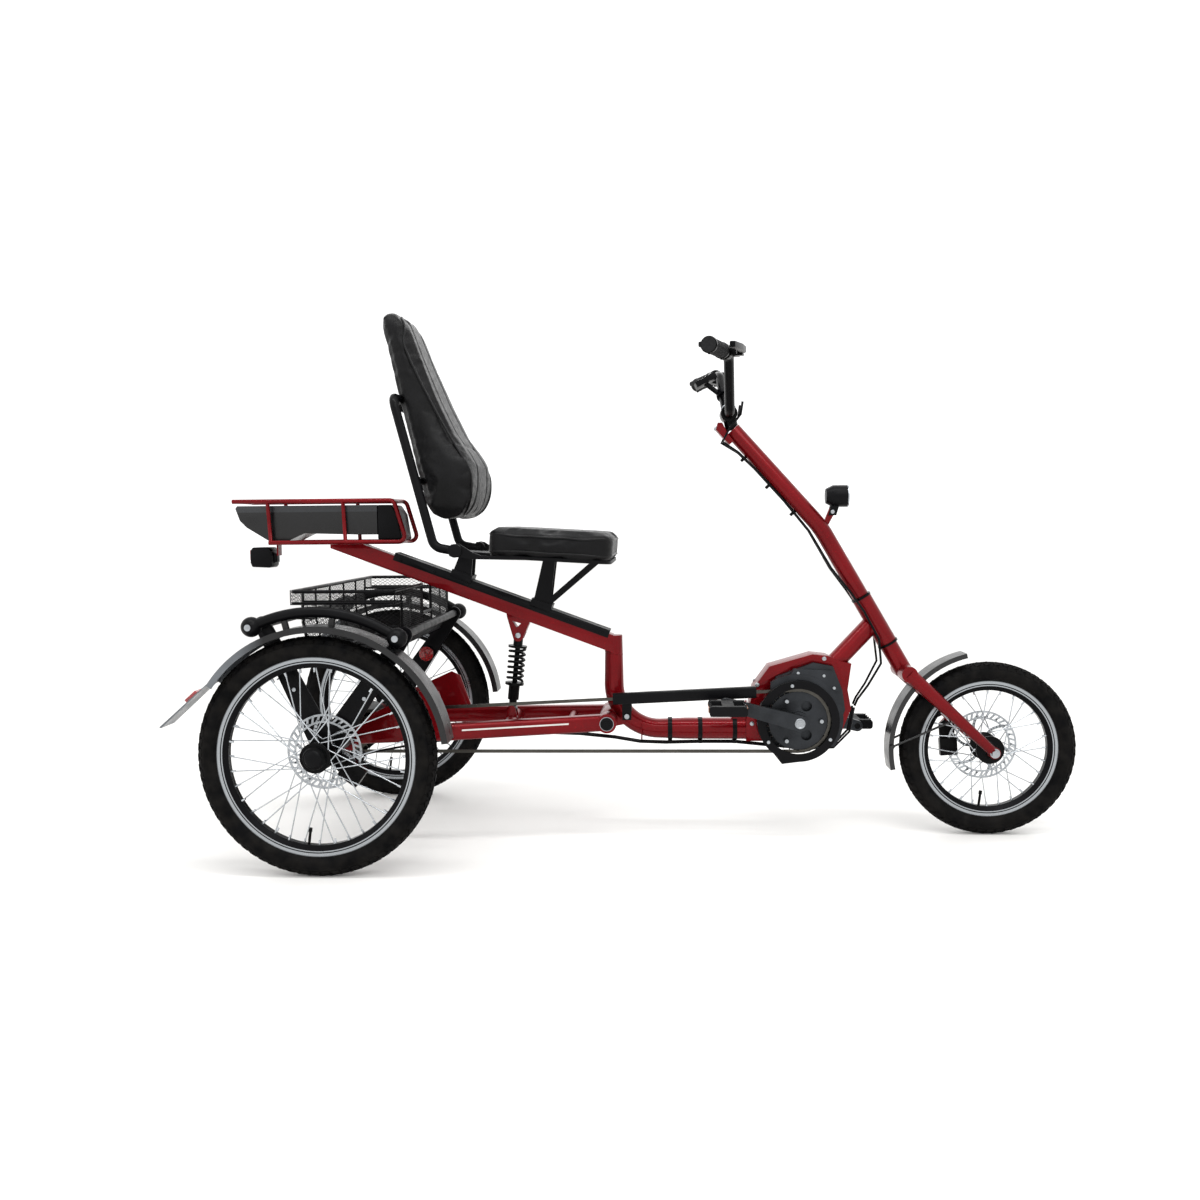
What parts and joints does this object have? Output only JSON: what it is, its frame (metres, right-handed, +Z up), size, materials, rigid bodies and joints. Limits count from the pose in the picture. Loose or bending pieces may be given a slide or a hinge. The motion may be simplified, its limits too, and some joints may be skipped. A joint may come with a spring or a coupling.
{
  "type": "adult tricycle",
  "caption": "Adult tricycle with two wheels behind on a sprung swingarm, low step-through frame, mid motor and chain drive, armchair seat, rear basket and rack battery.",
  "frame": {"origin": "on the ground, midway along the length and on the symmetry plane", "axes": "+X forward, +Y to the rider's left, +Z up"},
  "size_m": [1.9779, 0.756, 1.211],
  "materials": {
    "frame_paint": "deep red metallic lacquer",
    "black_steel": "black powder coat",
    "black_plastic": "fine grained",
    "lamp_red": "clear red lens",
    "motor_grey": "satin grey cover",
    "chain_steel": "oiled",
    "cable_sheath": "smooth black sheath",
    "black_aluminium": "black anodised",
    "guard_plastic": "semi gloss",
    "basket_mesh": "black coated expanded metal",
    "lamp_body": "black housing with clear lens",
    "grip_rubber": "ribbed",
    "lever_metal": "satin black",
    "display_face": "glossy face",
    "crank_black": "black anodised",
    "pedal_plastic": "grained",
    "seat_leather": "grained artificial leather",
    "shock_body_black": "gloss black",
    "spring_steel": "gloss black coil",
    "tyre_rubber": "road tread",
    "rim_silver": "silver",
    "spoke_steel": "stainless",
    "hub_black": "black anodised",
    "disc_steel": "brake track"
  },
  "bodies": {
    "frame": {"main_frame": "frame_paint", "seat_rail": "black_steel", "rear_rack": "frame_paint", "battery_dock": "black_plastic", "rear_lamp": "lamp_red", "motor_housing": "motor_grey", "chain_case": "black_plastic", "chain_tube": "black_plastic", "chain": "chain_steel", "frame_cables": "cable_sheath", "headset": "black_steel"},
    "battery": {"battery_pack": "black_plastic"},
    "swingarm": {"swingarm": "frame_paint", "pivot_bolt": "black_steel", "rear_axle": "black_steel", "rear_calipers": "black_aluminium", "mudguard_left": "guard_plastic", "mudguard_right": "guard_plastic", "wheel_bows": "black_steel", "basket_brackets": "black_steel", "basket": "basket_mesh", "reflectors": "lamp_red"},
    "cog": {"drive_sprocket": "chain_steel"},
    "wheel_left": {"tyre_left": "tyre_rubber", "rim_left": "rim_silver", "spokes_left": "spoke_steel", "hub_left": "hub_black", "disc_left": "disc_steel"},
    "wheel_right": {"tyre_right": "tyre_rubber", "rim_right": "rim_silver", "spokes_right": "spoke_steel", "hub_right": "hub_black", "disc_right": "disc_steel"},
    "steering": {"fork": "frame_paint", "front_mudguard": "guard_plastic", "front_caliper": "black_aluminium", "column": "frame_paint", "column_cables": "cable_sheath", "stem": "black_aluminium"},
    "wheel_front": {"tyre_front": "tyre_rubber", "rim_front": "rim_silver", "spokes_front": "spoke_steel", "hub_front": "hub_black", "disc_front": "disc_steel"},
    "handlebar": {"handlebar": "black_aluminium", "grips": "grip_rubber", "display": "display_face"},
    "lever_left": {"brake_lever_left": "lever_metal"},
    "lever_right": {"brake_lever_right": "lever_metal"},
    "headlamp": {"headlamp": "lamp_body"},
    "crank": {"crankset": "crank_black"},
    "pedal_left": {"pedal_left": "pedal_plastic"},
    "pedal_right": {"pedal_right": "pedal_plastic"},
    "seat": {"seat_base": "black_steel", "seat_cushion": "seat_leather"},
    "backrest": {"backrest_frame": "black_steel", "backrest_cushion": "seat_leather"},
    "shock_upper": {"shock_body": "black_steel", "shock_spring": "spring_steel"},
    "shock_lower": {"shock_rod": "shock_body_black"}
  },
  "joints": [
    {"name": "battery_slide", "type": "slide", "parent": "frame", "child": "battery", "axis": [-1, 0, 0], "range_m": [0, 0.35]},
    {"name": "swing", "type": "hinge", "parent": "frame", "child": "swingarm", "pos_m": [-0.085, 0, 0.271], "axis": [0, 1, 0], "range_deg": [0, 4.5], "stiffness_Nm_per_rad": 6000, "springref_deg": -2.29, "deforming": ["chain", "frame_cables"]},
    {"name": "shock_tilt", "type": "hinge", "parent": "frame", "child": "shock_upper", "pos_m": [-0.294, 0, 0.466], "axis": [0, 1, 0], "range_deg": [-0.58, 0.42]},
    {"name": "shock_stroke", "type": "slide", "parent": "shock_upper", "child": "shock_lower", "axis": [-0.1017, 0, -0.9948], "range_m": [-0.022, 0], "deforming": ["shock_spring"]},
    {"name": "cog_spin", "type": "hinge", "parent": "swingarm", "child": "cog", "pos_m": [-0.671, 0, 0.25], "axis": [0, 1, 0], "continuous": true},
    {"name": "wheel_left_spin", "type": "hinge", "parent": "swingarm", "child": "wheel_left", "pos_m": [-0.671, 0.345, 0.25], "axis": [0, 1, 0], "continuous": true},
    {"name": "wheel_right_spin", "type": "hinge", "parent": "swingarm", "child": "wheel_right", "pos_m": [-0.671, -0.345, 0.25], "axis": [0, 1, 0], "continuous": true},
    {"name": "steer", "type": "hinge", "parent": "frame", "child": "steering", "pos_m": [0.5005, 0, 0.54819], "axis": [-0.5, 0, 0.866], "range_deg": [-35, 35], "deforming": ["column_cables"]},
    {"name": "wheel_front_spin", "type": "hinge", "parent": "steering", "child": "wheel_front", "pos_m": [0.789, 0, 0.2], "axis": [0, 1, 0], "continuous": true},
    {"name": "bar_tilt", "type": "hinge", "parent": "steering", "child": "handlebar", "pos_m": [0.19576, 0, 0.97168], "axis": [0, 1, 0], "range_deg": [-12, 12]},
    {"name": "brake_left", "type": "hinge", "parent": "handlebar", "child": "lever_left", "pos_m": [0.20707, 0.21469, 1.0818], "axis": [-0.0075, 0.0234, 0.9997], "range_deg": [0, 10], "stiffness_Nm_per_rad": 0.6, "springref_deg": -17.19},
    {"name": "brake_right", "type": "hinge", "parent": "handlebar", "child": "lever_right", "pos_m": [0.20707, -0.21469, 1.0818], "axis": [0.0075, 0.0234, -0.9997], "range_deg": [0, 10], "stiffness_Nm_per_rad": 0.6, "springref_deg": -17.19},
    {"name": "headlamp_tilt", "type": "hinge", "parent": "steering", "child": "headlamp", "pos_m": [0.4315, 0, 0.74674], "axis": [0, 1, 0], "range_deg": [-10, 10]},
    {"name": "crank_spin", "type": "hinge", "parent": "frame", "child": "crank", "pos_m": [0.347, 0, 0.276], "axis": [0, 1, 0], "continuous": true},
    {"name": "pedal_right_spin", "type": "hinge", "parent": "crank", "child": "pedal_right", "pos_m": [0.18279, -0.106, 0.32], "axis": [0, 1, 0], "continuous": true},
    {"name": "pedal_left_spin", "type": "hinge", "parent": "crank", "child": "pedal_left", "pos_m": [0.51121, 0.106, 0.232], "axis": [0, 1, 0], "continuous": true},
    {"name": "seat_slide", "type": "slide", "parent": "frame", "child": "seat", "axis": [0.9382, 0, -0.3461], "range_m": [-0.05, 0.14]},
    {"name": "recline", "type": "hinge", "parent": "seat", "child": "backrest", "pos_m": [-0.409, 0, 0.668], "axis": [0, 1, 0], "range_deg": [-12, 12]}
  ],
  "couplings": [
    {"joint": "shock_tilt", "follows": "swing", "ratio": -0.0167},
    {"joint": "shock_stroke", "follows": "swing", "m_per_rad": -0.22773},
    {"joint": "cog_spin", "follows": "crank_spin", "ratio": 1.5217}
  ]
}
